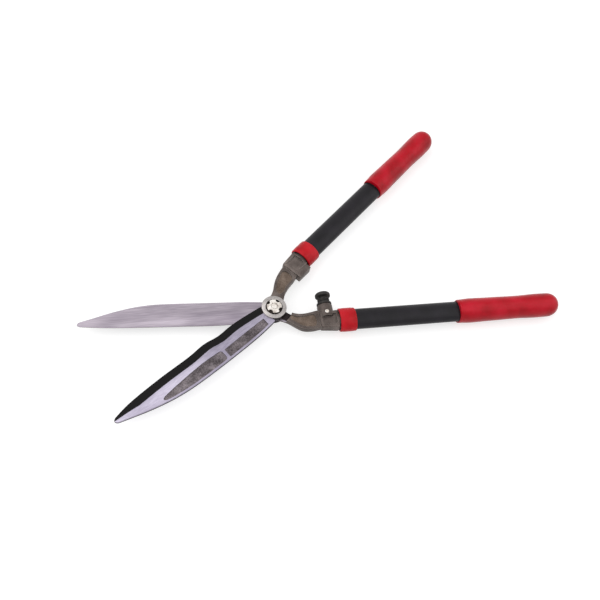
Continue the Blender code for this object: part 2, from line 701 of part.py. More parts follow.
def pivot_bolt():
    """Flat round head, square neck keyed in the rear hub, round shank and thread."""
    top = NUT_Z + NUT_T + BOLT_END_RISE
    shoulder = MEETING_Z + COUNTERBORE_FLOOR - CLEARANCE
    chamfer = 0.6 * MM
    bolt = turned("pivot_bolt", [(0, top), (THREAD_RADIUS - chamfer, top), (THREAD_RADIUS, top - chamfer),
                                 (THREAD_RADIUS, shoulder), (BOLT_RADIUS, shoulder),
                                 (BOLT_RADIUS, BOLT_HEAD_T), (BOLT_HEAD_RADIUS - chamfer, BOLT_HEAD_T),
                                 (BOLT_HEAD_RADIUS, BOLT_HEAD_T - chamfer), (BOLT_HEAD_RADIUS, chamfer),
                                 (BOLT_HEAD_RADIUS - chamfer, 0), (0, 0)])
    side = NECK_SIDE / 2
    neck = box("bolt_neck", (-side, -side, BOLT_HEAD_T - 1 * MM), (side, side, MEETING_Z - HALF_GAP))
    neck.rotation_euler.z = -HANDLE_SPREAD / 2
    join(bolt, neck)
    return make_part(bolt, "pivot_bolt", BRIGHT_STEEL)


def pivot_nut():
    """Round adjusting nut with notches for a pin wrench."""
    chamfer = 0.6 * MM
    low, high = NUT_Z, NUT_Z + NUT_T
    inner = THREAD_RADIUS + CLEARANCE
    nut = turned("pivot_nut", [(NUT_RADIUS - chamfer, high), (NUT_RADIUS, high - chamfer), (NUT_RADIUS, low),
                               (inner, low), (inner, high)])
    for i in range(4):
        angle = NUT_NOTCH_TURN + math.pi / 2 * i
        x, y = NUT_RADIUS * math.cos(angle), NUT_RADIUS * math.sin(angle)
        notch = rod("nut_notch_%d" % i, (x, y, low - OVERCUT), (x, y, high + OVERCUT), NUT_NOTCH_RADIUS, steps=20)
        cut(nut, notch)
    return make_part(nut, "pivot_nut", BRIGHT_STEEL)


def pivot_hardware():
    pivot_bolt()
    pivot_nut()
    washer("pivot_washer", PIVOT_WASHER_Z, PIVOT_WASHER_T, COUNTERBORE_RADIUS - CLEARANCE,
           THREAD_RADIUS + CLEARANCE, BRIGHT_STEEL)
    washer("friction_washer", MEETING_Z - HALF_GAP + CLEARANCE, FRICTION_WASHER_T,
           FRICTION_WASHER_RADIUS, BOLT_RADIUS + CLEARANCE, BRASS)
    corner = NECK_SIDE / math.sqrt(2) + CLEARANCE
    washer("spring_washer", BOLT_HEAD_T + CLEARANCE, SPRING_WASHER_T, BOLT_HEAD_RADIUS, corner, BRIGHT_STEEL)


# ---------------------------------------------------------------- bumper on the rear half

def bumper_levels():
    """Heights above the handle's axis, toward the other handle."""
    boss = HANDLE_OFFSET - BOSS_FACE
    base = boss + CLEARANCE
    neck_top = base + BUMPER_FLANGE_T + BUMPER_NECK_LENGTH
    cap = neck_top + BUMPER_TRAVEL + CLEARANCE
    return boss, base, neck_top, cap


def bumper_body(half):
    """Rubber sleeve: a flange on the boss, a ribbed neck and a well for the cap's stem."""
    _, base, top, _ = bumper_levels()
    flange_top = base + BUMPER_FLANGE_T
    well = top - BUMPER_WELL_DEPTH
    inner = BUMPER_STEM_RADIUS + CLEARANCE
    rib, groove = BUMPER_NECK_RADIUS, BUMPER_NECK_RADIUS - 0.9 * MM
    ribs = 3
    pitch = (top - flange_top) / ribs
    profile = [(inner, top)]
    for i in range(ribs):
        high = top - i * pitch
        profile += [(rib, high), (rib, high - pitch * 0.6), (groove, high - pitch * 0.65), (groove, high - pitch)]
    profile += [(BUMPER_FLANGE_RADIUS, flange_top), (BUMPER_FLANGE_RADIUS, base),
                (STUD_RADIUS + CLEARANCE, base), (STUD_RADIUS + CLEARANCE, well), (inner, well)]
    body = half.place(turned("bumper_body", profile, bumper_matrix(half)))
    return make_part(body, "bumper_body", BLACK_RUBBER)


def bumper_cap(half):
    """Mushroom head on a stem that slides in the sleeve when the handles close on it."""
    _, _, top, cap = bumper_levels()
    stem_end = top - BUMPER_WELL_DEPTH + STUD_HEAD_T + 2 * CLEARANCE + BUMPER_TRAVEL
    crown = cap + BUMPER_CAP_T
    profile = [(0, crown)]
    dome = 2.4 * MM
    for i in range(1, 7):
        angle = math.pi / 2 * i / 6
        radius = BUMPER_CAP_RADIUS * (0.45 + 0.55 * math.sin(angle))
        profile.append((radius, crown - dome * (1 - math.cos(angle))))
    profile += [(BUMPER_CAP_RADIUS, cap + 1.2 * MM), (BUMPER_CAP_RADIUS - 1.2 * MM, cap),
                (BUMPER_STEM_RADIUS, cap), (BUMPER_STEM_RADIUS, stem_end), (0, stem_end)]
    solid = half.place(turned("bumper_cap", profile, bumper_matrix(half)))
    return make_part(solid, "bumper_cap", BLACK_RUBBER)


def bumper_stud(half):
    """Steel stud screwed into the boss; its head clamps the floor of the sleeve's well."""
    boss, _, top, _ = bumper_levels()
    seat = top - BUMPER_WELL_DEPTH + CLEARANCE
    profile = [(0, seat + STUD_HEAD_T), (STUD_HEAD_RADIUS - CLEARANCE, seat + STUD_HEAD_T),
               (STUD_HEAD_RADIUS - CLEARANCE, seat), (STUD_RADIUS, seat), (STUD_RADIUS, boss - STUD_DEPTH),
               (0, boss - STUD_DEPTH)]
    stud = half.place(turned("bumper_stud", profile, bumper_matrix(half), 24))
    return make_part(stud, "bumper_stud", BRIGHT_STEEL)


def bumper_lock_screw(half):
    """Set screw through the boss's side, with a hexagon socket, that holds the stud."""
    inner, outer = lock_screw_span(half)
    screw = half.place(rod("lock_screw_body", inner, outer, LOCK_SCREW_RADIUS, steps=24))
    depth = (outer - inner).normalized() * 2 * MM
    hexagon = rod("hexagon", outer - depth, outer + depth, 1.4 * MM, steps=6)
    cut(screw, half.place(hexagon))
    return make_part(screw, "bumper_lock_screw", BRIGHT_STEEL)


def build():
    spread = HANDLE_SPREAD / 2
    front = Half("front", spread, False, FRONT_BLADE_LEAN, FRONT_EDGE, FRONT_SPINE, FRONT_ARM,
                 FRONT_ARM_PANEL, FRONT_HUB_T, FRONT_GRIP_END)
    rear = Half("rear", -spread, True, REAR_BLADE_LEAN, REAR_EDGE, REAR_SPINE, REAR_ARM,
                REAR_ARM_PANEL, REAR_HUB_T, REAR_GRIP_END)
    front_forging(front)
    rear_forging(rear)
    for half in (front, rear):
        handle_tube(half)
        tang_pin(half)
        handle_collar(half)
        handle_grip(half)
        tube_plug(half)
    pivot_hardware()
    bumper_stud(rear)
    bumper_body(rear)
    bumper_cap(rear)
    bumper_lock_screw(rear)


build()
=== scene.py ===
"""Looks of the hedge shears: ground and forged steel, painted tubes, red plastic grips, rubber bumper.

World axes: the pivot is Z, the handles point to +X, the blades to -X. Each half has a frame of its
own: +X along its handle, +Y away from the other handle, +Z away from the other blade.
"""
import json
import math

import bpy
from mathutils import Matrix, Vector

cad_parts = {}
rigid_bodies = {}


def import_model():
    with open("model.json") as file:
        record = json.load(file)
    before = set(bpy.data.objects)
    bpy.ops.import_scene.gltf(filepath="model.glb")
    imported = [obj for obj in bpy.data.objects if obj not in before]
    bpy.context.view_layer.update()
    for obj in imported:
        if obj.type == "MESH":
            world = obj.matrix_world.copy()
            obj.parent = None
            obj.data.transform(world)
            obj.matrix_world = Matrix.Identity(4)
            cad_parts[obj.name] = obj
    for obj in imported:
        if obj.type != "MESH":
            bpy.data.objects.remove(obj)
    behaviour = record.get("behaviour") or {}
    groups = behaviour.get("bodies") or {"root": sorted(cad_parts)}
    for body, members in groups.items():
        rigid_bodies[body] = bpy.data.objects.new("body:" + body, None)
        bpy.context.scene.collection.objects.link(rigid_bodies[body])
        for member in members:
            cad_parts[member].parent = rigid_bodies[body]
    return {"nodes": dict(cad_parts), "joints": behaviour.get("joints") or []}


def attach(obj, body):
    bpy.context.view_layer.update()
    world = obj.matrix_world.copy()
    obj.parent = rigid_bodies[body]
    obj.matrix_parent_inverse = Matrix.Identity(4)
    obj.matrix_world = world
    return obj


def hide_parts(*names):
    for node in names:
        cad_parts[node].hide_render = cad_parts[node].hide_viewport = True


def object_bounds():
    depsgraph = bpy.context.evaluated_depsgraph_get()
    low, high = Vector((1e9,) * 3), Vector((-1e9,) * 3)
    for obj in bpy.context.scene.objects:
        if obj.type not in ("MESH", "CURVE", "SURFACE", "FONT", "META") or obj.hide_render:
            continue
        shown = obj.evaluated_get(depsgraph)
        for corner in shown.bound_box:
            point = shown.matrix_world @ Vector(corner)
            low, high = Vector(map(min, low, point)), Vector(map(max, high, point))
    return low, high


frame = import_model()
CAD_BOX = [list(corner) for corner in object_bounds()]

MM = 0.001
JOINTS = {joint["name"]: joint for joint in frame["joints"]}
PIVOT = Vector(JOINTS["blade_pivot"]["pos_m"])
SQUEEZE = Vector(JOINTS["bumper_squeeze"]["axis"])
HANDLE_TURN = math.atan2(SQUEEZE.x, -SQUEEZE.y)
FRONT = Matrix.Translation(PIVOT) @ Matrix.Rotation(-HANDLE_TURN, 4, "Z")
FACE_DOWN = Matrix.Rotation(math.pi, 4, "X")
REAR = Matrix.Translation(PIVOT) @ Matrix.Rotation(HANDLE_TURN, 4, "Z") @ FACE_DOWN
FRONT_LEAN = math.radians(9.0)
REAR_LEAN = math.radians(0.6)

# A piece grown upward from Z = 0 is laid along the handle, or stood on the bumper's boss
ALONG_HANDLE = Matrix(((0, 0, 1, 0), (1, 0, 0, 0), (0, 1, 0, 0), (0, 0, 0, 1)))
TOWARD_OTHER_HANDLE = Matrix.Rotation(math.pi / 2, 4, "X")


# ---------------------------------------------------------------- material helpers

def linear(code):
    """An sRGB hex colour as linear red, green, blue and alpha."""
    channels = [int(code[i:i + 2], 16) / 255 for i in (1, 3, 5)]
    return [c / 12.92 if c <= 0.04045 else ((c + 0.055) / 1.055) ** 2.4 for c in channels] + [1.0]


def add(tree, kind, links=None, **settings):
    """Adds a node; links gives its inputs, by name or number, as values or other nodes' outputs."""
    node = tree.nodes.new("ShaderNode" + kind)
    for key, value in settings.items():
        setattr(node, key, value)
    for key, value in (links or {}).items():
        if isinstance(value, bpy.types.NodeSocket):
            tree.links.new(value, node.inputs[key])
        else:
            node.inputs[key].default_value = value
    return node


def surface(name, roughness, metallic, **plain):
    """A new material: its node tree, its shader, and Object coordinates in metres."""
    material = bpy.data.materials.new(name)
    material.use_nodes = True
    tree = material.node_tree
    shader = tree.nodes["Principled BSDF"]
    shader.inputs["Roughness"].default_value = roughness
    shader.inputs["Metallic"].default_value = metallic
    for socket, value in plain.items():
        shader.inputs[socket.replace("_", " ")].default_value = value
    return material, tree, shader, add(tree, "TexCoord").outputs["Object"]


def blend_colours(tree, factor, stops):
    """A ramp from (place, hex colour) stops."""
    ramp = add(tree, "ValToRGB", {"Fac": factor})
    points = ramp.color_ramp.elements
    while len(points) < len(stops):
        points.new(0.5)
    for point, (place, code) in zip(points, stops):
        point.position = place
        point.color = linear(code)
    return ramp.outputs["Color"]


def per_metre(size_mm):
    """Noise scale whose cells are about this many millimetres across."""
    return 1000.0 / size_mm


# ---------------------------------------------------------------- materials

def satin_ground_steel(name, turn, tones, grit_mm=0.5, streak=22.0, roughness=0.36):
    """Steel ground on a belt: fine lines along the blade, with slow clouds of brightness between
    them, so that the face looks drawn out rather than flat. The real lines are a few hundredths
    of a millimetre apart; they are drawn coarser so that they show."""
    material, tree, shader, place = surface(name, roughness, 1.0)
    along = add(tree, "Mapping", {"Vector": place, "Rotation": (0, 0, -turn)}).outputs[0]
    drawn = add(tree, "Mapping", {"Vector": along, "Scale": (1.0 / streak, 1.0, 1.0)}).outputs[0]
    lines = add(tree, "TexNoise", {"Vector": drawn, "Scale": per_metre(grit_mm), "Detail": 3.0})
    slow = add(tree, "Mapping", {"Vector": along, "Scale": (0.3, 1.0, 1.0)}).outputs[0]
    clouds = add(tree, "TexNoise", {"Vector": slow, "Scale": per_metre(22), "Detail": 2.0})
    both = add(tree, "Mix", {"Factor": 0.42, "A": clouds.outputs[0], "B": lines.outputs[0]})
    colour = blend_colours(tree, both.outputs[0], tones)
    tree.links.new(colour, shader.inputs["Base Color"])
    rough = add(tree, "MapRange", {"Value": lines.outputs[0], "To Min": roughness - 0.07,
                                   "To Max": roughness + 0.10})
    tree.links.new(rough.outputs[0], shader.inputs["Roughness"])
    soft = add(tree, "Bevel", {"Radius": 0.35 * MM}, samples=4)
    bump = add(tree, "Bump", {"Strength": 0.10, "Distance": 0.08 * MM, "Height": lines.outputs[0],
                              "Normal": soft.outputs[0]})
    tree.links.new(bump.outputs[0], shader.inputs["Normal"])
    return material


def forged_steel(name, tones, scale_mm=0.9, roughness=0.46, depth=0.25, edge="#a59d97"):
    """Drop-forged steel, blasted and oiled: dark brown-grey oxide with a fine pitted grain, and a
    painted highlight that turns its rounded edges lighter."""
    material, tree, shader, place = surface(name, roughness, 0.85)
    grain = add(tree, "TexNoise", {"Vector": place, "Scale": per_metre(scale_mm), "Detail": 4.0,
                                   "Roughness": 0.6})
    clouds = add(tree, "TexNoise", {"Vector": place, "Scale": per_metre(14), "Detail": 3.0})
    both = add(tree, "Mix", {"Factor": 0.5, "A": clouds.outputs[0], "B": grain.outputs[0]})
    colour = blend_colours(tree, both.outputs[0], tones)
    # Painted highlight: the colour turns towards the edge colour where the rounded-edge normal leans
    # away from the face's own, so rounded edges look lit.
    soft = add(tree, "Bevel", {"Radius": 0.6 * MM}, samples=4)
    facing = add(tree, "NewGeometry")
    turned = add(tree, "VectorMath", {0: soft.outputs[0], 1: facing.outputs["Normal"]},
                 operation="DOT_PRODUCT")
    painted_edge_light = add(tree, "MapRange", {"Value": turned.outputs["Value"], "From Min": 0.995,
                                  "From Max": 0.90, "To Min": 0.0, "To Max": 0.6})
    mixed = add(tree, "Mix", {"Factor": painted_edge_light.outputs[0], "A": colour, "B": linear(edge)},
                data_type="RGBA")
    tree.links.new(mixed.outputs["Result"], shader.inputs["Base Color"])
    rough = add(tree, "MapRange", {"Value": grain.outputs[0], "To Min": roughness - 0.10,
                                   "To Max": roughness + 0.14})
    tree.links.new(rough.outputs[0], shader.inputs["Roughness"])
    bump = add(tree, "Bump", {"Strength": 0.5, "Distance": depth * MM, "Height": grain.outputs[0],
                              "Normal": soft.outputs[0]})
    tree.links.new(bump.outputs[0], shader.inputs["Normal"])
    return material


def black_oxide(name):
    """Black coating baked on the ground bevel: almost black, dull, faintly mottled."""
    material, tree, shader, place = surface(name, 0.52, 0.0, Specular_IOR_Level=0.13)
    mottle = add(tree, "TexNoise", {"Vector": place, "Scale": per_metre(2.2), "Detail": 4.0})
    colour = blend_colours(tree, mottle.outputs[0], [
        (0.35, "#040304"), (0.65, "#0c0a0b"), (0.80, "#201d1f")])
    tree.links.new(colour, shader.inputs["Base Color"])
    rough = add(tree, "MapRange", {"Value": mottle.outputs[0], "To Min": 0.42, "To Max": 0.62})
    tree.links.new(rough.outputs[0], shader.inputs["Roughness"])
    fine = add(tree, "TexNoise", {"Vector": place, "Scale": per_metre(0.5), "Detail": 2.0})
    bump = add(tree, "Bump", {"Strength": 0.25, "Distance": 0.1 * MM, "Height": fine.outputs[0]})
    tree.links.new(bump.outputs[0], shader.inputs["Normal"])
    return material


def powder_coat(name):
    """Satin black powder coat on steel tube: near black with a broad sheen and a faint orange
    peel of half-millimetre dimples."""
    material, tree, shader, place = surface(name, 0.34, 0.0, Specular_IOR_Level=0.22)
    clouds = add(tree, "TexNoise", {"Vector": place, "Scale": per_metre(18), "Detail": 3.0})
    colour = blend_colours(tree, clouds.outputs[0], [(0.3, "#0f0d11"), (0.7, "#1c191f")])
    tree.links.new(colour, shader.inputs["Base Color"])
    peel = add(tree, "TexNoise", {"Vector": place, "Scale": per_metre(0.8), "Detail": 2.0})
    rough = add(tree, "MapRange", {"Value": peel.outputs[0], "To Min": 0.32, "To Max": 0.46})
    tree.links.new(rough.outputs[0], shader.inputs["Roughness"])
    bump = add(tree, "Bump", {"Strength": 0.12, "Distance": 0.1 * MM, "Height": peel.outputs[0]})
    tree.links.new(bump.outputs[0], shader.inputs["Normal"])
    return material


def soft_red_pvc(name, tones, roughness=0.40):
    """Red PVC dip-moulded grip: an even, slightly translucent red with a satin skin, a fine
    matt grain, and slow changes of depth where the wall is thicker."""
    material, tree, shader, place = surface(name, roughness, 0.0, Subsurface_Weight=0.06,
                                            Subsurface_Scale=0.003, Specular_IOR_Level=0.2)
    clouds = add(tree, "TexNoise", {"Vector": place, "Scale": per_metre(26), "Detail": 3.0})
    colour = blend_colours(tree, clouds.outputs[0], tones)
    tree.links.new(colour, shader.inputs["Base Color"])
    skin = add(tree, "TexNoise", {"Vector": place, "Scale": per_metre(0.7), "Detail": 3.0})
    rough = add(tree, "MapRange", {"Value": skin.outputs[0], "To Min": roughness - 0.06,
                                   "To Max": roughness + 0.10})
    tree.links.new(rough.outputs[0], shader.inputs["Roughness"])
    bump = add(tree, "Bump", {"Strength": 0.18, "Distance": 0.12 * MM, "Height": skin.outputs[0]})
    tree.links.new(bump.outputs[0], shader.inputs["Normal"])
    return material


def zinc_plate(name, tones, roughness=0.26):
    """Bright zinc plate on turned steel: pale and shiny with fine turning rings round the pivot
    and a cloudy passivation."""
    material, tree, shader, place = surface(name, roughness, 1.0)
    centred = add(tree, "Mapping", {"Vector": place, "Scale": (1.0, 1.0, 0.0)}).outputs[0]
    rings = add(tree, "TexWave", {"Vector": centred, "Scale": per_metre(3.2), "Distortion": 0.6,
                                  "Detail": 2.0, "Detail Scale": 2.0}, wave_type="RINGS",
                rings_direction="Z")
    clouds = add(tree, "TexNoise", {"Vector": place, "Scale": per_metre(5), "Detail": 3.0})
    colour = blend_colours(tree, clouds.outputs[0], tones)
    tree.links.new(colour, shader.inputs["Base Color"])
    rough = add(tree, "MapRange", {"Value": rings.outputs["Fac"], "To Min": roughness - 0.05,
                                   "To Max": roughness + 0.12})
    tree.links.new(rough.outputs[0], shader.inputs["Roughness"])
    soft = add(tree, "Bevel", {"Radius": 0.3 * MM}, samples=4)
    bump = add(tree, "Bump", {"Strength": 0.08, "Distance": 0.05 * MM, "Height": rings.outputs["Fac"],
                              "Normal": soft.outputs[0]})
    tree.links.new(bump.outputs[0], shader.inputs["Normal"])
    return material


def moulded_rubber(name):
    """Black rubber from a mould: dull, charcoal rather than black, with a dusty bloom in patches."""
    material, tree, shader, place = surface(name, 0.62, 0.0, Specular_IOR_Level=0.4)
    bloom = add(tree, "TexNoise", {"Vector": place, "Scale": per_metre(3.5), "Detail": 4.0})
    colour = blend_colours(tree, bloom.outputs[0], [
        (0.35, "#151312"), (0.62, "#2a2725"), (0.80, "#45413e")])
    tree.links.new(colour, shader.inputs["Base Color"])
    grain = add(tree, "TexNoise", {"Vector": place, "Scale": per_metre(0.4), "Detail": 2.0})
    rough = add(tree, "MapRange", {"Value": grain.outputs[0], "To Min": 0.52, "To Max": 0.74})
    tree.links.new(rough.outputs[0], shader.inputs["Roughness"])
    bump = add(tree, "Bump", {"Strength": 0.3, "Distance": 0.1 * MM, "Height": grain.outputs[0]})
    tree.links.new(bump.outputs[0], shader.inputs["Normal"])
    return material


def sintered_bronze(name):
    """Oil-filled bronze washer: dull gold-brown with dark pores."""
    material, tree, shader, place = surface(name, 0.42, 1.0)
    pores = add(tree, "TexVoronoi", {"Vector": place, "Scale": per_metre(0.6)})
    colour = blend_colours(tree, pores.outputs["Distance"], [(0.05, "#5d4526"), (0.35, "#b38a4e")])
    tree.links.new(colour, shader.inputs["Base Color"])
    bump = add(tree, "Bump", {"Strength": 0.2, "Distance": 0.05 * MM,
                              "Height": pores.outputs["Distance"]})
    tree.links.new(bump.outputs[0], shader.inputs["Normal"])
    return material


FRONT_LINE = math.pi - HANDLE_TURN - FRONT_LEAN
REAR_LINE = math.pi + HANDLE_TURN + REAR_LEAN

FINISHES = {
    "front_ground": satin_ground_steel("ground_steel_front", FRONT_LINE, [
        (0.30, "#777181"), (0.50, "#958f9f"), (0.70, "#b4aebd")], grit_mm=0.7, streak=10),
    "rear_ground": satin_ground_steel("ground_steel_rear", REAR_LINE, [
        (0.30, "#6a626c"), (0.46, "#817983"), (0.56, "#8f8790"), (0.72, "#a59ca6")], grit_mm=1.0),
    "hub": satin_ground_steel("ground_steel_hub", 0.0, [
        (0.30, "#7e7978"), (0.50, "#a5a09e"), (0.70, "#c4bfbd")],
        grit_mm=1.2, streak=1.5, roughness=0.34),
    "forged": forged_steel("forged_steel_oiled", [
        (0.32, "#3c3532"), (0.50, "#5b524e"), (0.68, "#786e69")]),
    "recess": forged_steel("forged_steel_recess", [
        (0.34, "#2c2728"), (0.50, "#615a5d"), (0.66, "#8f868a")],
        scale_mm=1.6, roughness=0.55, depth=0.5, edge="#8a8484"),
    "arm_recess": forged_steel("forged_steel_arm_recess", [
        (0.32, "#453a33"), (0.50, "#66584e"), (0.68, "#84756a")], scale_mm=1.3, depth=0.4),
    # Near-black forged steel: painted shade in the hub's counterbore round the nut and under the other
    # half round the hub, and dark lines on the panel walls, the spine and the socket line.
    "groove": forged_steel("near_black_walls_and_painted_shade", [
        (0.34, "#141011"), (0.50, "#262021"), (0.66, "#3a3233")], roughness=0.6, edge="#3a3233"),
    # Pivot washer: the zinc-plate pattern in near-black tones, painted shade that darkens the notches
    # round the nut.
    "painted_shade_steel": zinc_plate("washer_steel_painted_shade", [
        (0.35, "#1d1a19"), (0.50, "#2c2827"), (0.68, "#453f3c")], roughness=0.45),
    "black": black_oxide("black_oxide_bevel"),
    "paint": powder_coat("black_powder_coat"),
    "red": soft_red_pvc("red_pvc_grip", [
        (0.32, "#a00416"), (0.50, "#b8081e"), (0.70, "#c8152c")], roughness=0.30),
    "red_collar": soft_red_pvc("red_nylon_collar", [
        (0.32, "#ac0a16"), (0.50, "#c21220"), (0.70, "#cf222e")], roughness=0.34),
    "zinc": zinc_plate("zinc_plate", [(0.35, "#b9b0a8"), (0.50, "#dcd5cd"), (0.68, "#f2eeea")]),
    "rubber": moulded_rubber("black_rubber"),
    "bronze": sintered_bronze("sintered_bronze"),
}


def dress(name, finish):
    """Gives a CAD node that is shown as it is a finish."""
    for slot in frame["nodes"][name].material_slots:
        slot.material = FINISHES[finish]


for half_name in ("front", "rear"):
    dress(half_name + "_tube", "paint")
    dress(half_name + "_tang_pin", "zinc")
    dress(half_name + "_tube_plug", "rubber")
for node_name in ("pivot_bolt", "pivot_nut", "spring_washer", "bumper_stud", "bumper_lock_screw"):
    dress(node_name, "zinc")
# The pivot washer is near-black as painted shade round the nut.
dress("pivot_washer", "painted_shade_steel")
dress("friction_washer", "bronze")


# ---------------------------------------------------------------- modelling helpers

def deselect():
    """Nothing selected, as every operator here expects."""
    for obj in bpy.context.view_layer.objects:
        obj.select_set(False)


def span(node, half):
    """Lowest and highest corner of a CAD node in a half's own frame."""
    inverse = half.inverted()
    points = [inverse @ vertex.co for vertex in frame["nodes"][node].data.vertices]
    return [Vector([pick(p[i] for p in points) for i in range(3)]) for pick in (min, max)]


def grown(name, rings, steps=64):
    """A closed turned or oval solid, grown along Z from ring to ring as (height, half width,
    half depth), starting and ending on a flat face."""
    deselect()
    height, width, depth = rings[0]
    bpy.ops.mesh.primitive_circle_add(vertices=steps, radius=1.0, fill_type="NGON", location=(0, 0, 0))
    piece = bpy.context.active_object
    piece.name = piece.data.name = name
    bpy.ops.object.mode_set(mode="EDIT")
    bpy.ops.mesh.select_all(action="SELECT")
    bpy.ops.transform.resize(value=(width, depth, 1.0), center_override=(0, 0, 0))
    bpy.ops.transform.translate(value=(0, 0, height))
    for new_height, new_width, new_depth in rings[1:]:
        bpy.ops.mesh.extrude_region_move(
            TRANSFORM_OT_translate={"value": (0, 0, new_height - height)})
        bpy.ops.transform.resize(value=(new_width / width, new_depth / depth, 1.0),
                                 center_override=(0, 0, new_height))
        height, width, depth = new_height, new_width, new_depth
    bpy.ops.mesh.select_all(action="SELECT")
    bpy.ops.mesh.normals_make_consistent(inside=False)
    bpy.ops.object.mode_set(mode="OBJECT")
    return piece


def put(piece, place, angle=35):
    """Moves a piece built at the origin to its place and leaves its object at the origin."""
    deselect()
    piece.select_set(True)
    bpy.context.view_layer.objects.active = piece
    piece.matrix_world = place
    bpy.ops.object.transform_apply(location=True, rotation=True, scale=True)
    bpy.ops.object.shade_smooth_by_angle(angle=math.radians(angle))
    return piece


def belongs(piece, finish, body, slot, *nodes):
    """Gives a new piece its finish, hides the CAD nodes it stands for and sets it on its body; slot is
    not used.
    """
    piece.data.materials.clear()
    piece.data.materials.append(FINISHES[finish])
    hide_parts(*nodes)
    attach(piece, body)


def rounded(start, end, width, depth, radius, steps=4):
    """Rings of a quarter-round edge from start, where it is narrow, to end, at full size."""
    rings = []
    for i in range(steps + 1):
        angle = math.pi / 2 * i / steps
        height = start + (end - start) * (1 - math.cos(angle))
        inset = radius * (1 - math.sin(angle))
        rings.append((height, width - inset, depth - inset))
    return rings


def smooth(points, x):
    """A smooth value at x through (x, y) points."""
    xs = [p[0] for p in points]
    i = max(k for k in range(len(xs) - 1) if k == 0 or xs[k] <= x)
    t = min(max((x - xs[i]) / (xs[i + 1] - xs[i]), 0.0), 1.0)
    return points[i][1] + (points[i + 1][1] - points[i][1]) * t * t * (3 - 2 * t)


# ---------------------------------------------------------------- grips and collars

TUBE_CLEARANCE = 0.3 * MM

# (share of the barrel's length from the mouth, share of the CAD grip's width and depth)
GRIP_WIDTHS = [(0.0, 0.945), (0.13, 0.995), (0.33, 0.965), (0.65, 0.935), (0.89, 0.985),
               (1.0, 0.975)]
GRIP_STATIONS = 26
GRIP_LIP = 1.1 * MM
GRIP_LIP_ROUND = 0.8 * MM
GRIP_MOUTH_FLARE = 0.35 * MM
GRIP_FLARE_DEPTH = 0.44 * MM
GRIP_END_GAP = 2.6 * MM
NOSE_LENGTH = 16 * MM
NOSE_FLAT = 0.10
NOSE_STEPS = 8
NOSE_SWEEP = math.radians(88)
GRIP_SMOOTH = 50

COLLAR_ROUND = 1.2 * MM
COLLAR_BEAD = 0.25 * MM
BORE_OVERRUN = 2 * MM
# (share of the collar's length, 1 beside the bead and 0 on it)
BEAD_STATIONS = [(0.16, 1), (0.22, 0), (0.42, 0), (0.78, 0), (0.84, 1)]


def tube_bore(half_name, half):
    """Half width and half depth of a bore that the tube fits in."""
    low, high = span(half_name + "_tube", half)
    return (high.y - low.y) / 2 + TUBE_CLEARANCE, (high.z - low.z) / 2 + TUBE_CLEARANCE


def on_handle(low, high, half):
    """The place of a piece grown along Z that starts at the low end of a span on the handle."""
    start = Vector((low.x, (low.y + high.y) / 2, (low.z + high.z) / 2))
    return half @ Matrix.Translation(start) @ ALONG_HANDLE


def grip(half_name, half):
    """A dipped grip: a rounded lip at the mouth, a barrel a little waisted for the hand, a round
    nose, and inside it the bore that the tube fills."""
    low, high = span(half_name + "_grip", half)
    full_w, full_h = (high.y - low.y) / 2, (high.z - low.z) / 2
    bore_w, bore_h = tube_bore(half_name, half)
    tube_end = span(half_name + "_tube", half)[1].x
    rings = [(tube_end + GRIP_END_GAP - low.x, bore_w, bore_h),
             (GRIP_FLARE_DEPTH, bore_w, bore_h),
             (0.0, bore_w + GRIP_MOUTH_FLARE, bore_h + GRIP_MOUTH_FLARE)]
    mouth = GRIP_WIDTHS[0][1]
    rings += rounded(0.0, GRIP_LIP, full_w * mouth, full_h * mouth, GRIP_LIP_ROUND)
    barrel = high.x - low.x - NOSE_LENGTH
    for i in range(1, GRIP_STATIONS + 1):
        share = i / GRIP_STATIONS
        size = smooth(GRIP_WIDTHS, share)
        rings.append((GRIP_LIP + (barrel - GRIP_LIP) * share, full_w * size, full_h * size))
    end_w, end_h = rings[-1][1:]
    for i in range(1, NOSE_STEPS + 1):
        angle = NOSE_SWEEP * i / NOSE_STEPS
        keep = NOSE_FLAT + (1 - NOSE_FLAT) * math.cos(angle)
        reach = NOSE_LENGTH * math.sin(angle) / math.sin(NOSE_SWEEP)
        rings.append((barrel + reach, end_w * keep, end_h * keep))
    piece = put(grown(half_name + "_hand_grip", rings), on_handle(low, high, half), GRIP_SMOOTH)
    belongs(piece, "red", half_name + "_half", "red_plastic", half_name + "_grip")


def collar(half_name, half):
    """A moulded collar over the joint of tube and socket, its ends rounded, with a shallow bead."""
    low, high = span(half_name + "_collar", half)
    length = high.x - low.x
    full_w, full_h = (high.y - low.y) / 2, (high.z - low.z) / 2
    bore_w, bore_h = tube_bore(half_name, half)
    edge = rounded(0.0, COLLAR_ROUND, full_w - COLLAR_BEAD, full_h - COLLAR_BEAD, COLLAR_ROUND)
    rings = [(0.0, bore_w, bore_h)] + edge
    for share, beside in BEAD_STATIONS:
        rings.append((length * share, full_w - COLLAR_BEAD * beside, full_h - COLLAR_BEAD * beside))
    rings += [(length - height, width, depth) for height, width, depth in reversed(edge)]
    rings.append((length, bore_w, bore_h))
    piece = grown(half_name + "_end_collar", rings)
    bore = grown("collar_bore", [(-BORE_OVERRUN, bore_w, bore_h),
                                 (length + BORE_OVERRUN, bore_w, bore_h)])
    hollow = piece.modifiers.new("bore", "BOOLEAN")
    hollow.object = bore
    hollow.solver = "EXACT"
    deselect()
    piece.select_set(True)
    bpy.context.view_layer.objects.active = piece
    bpy.ops.object.modifier_apply(modifier="bore")
    bpy.data.objects.remove(bore, do_unlink=True)
    put(piece, on_handle(low, high, half))
    belongs(piece, "red_collar", half_name + "_half", "red_plastic", half_name + "_collar")


# ---------------------------------------------------------------- rubber bumper

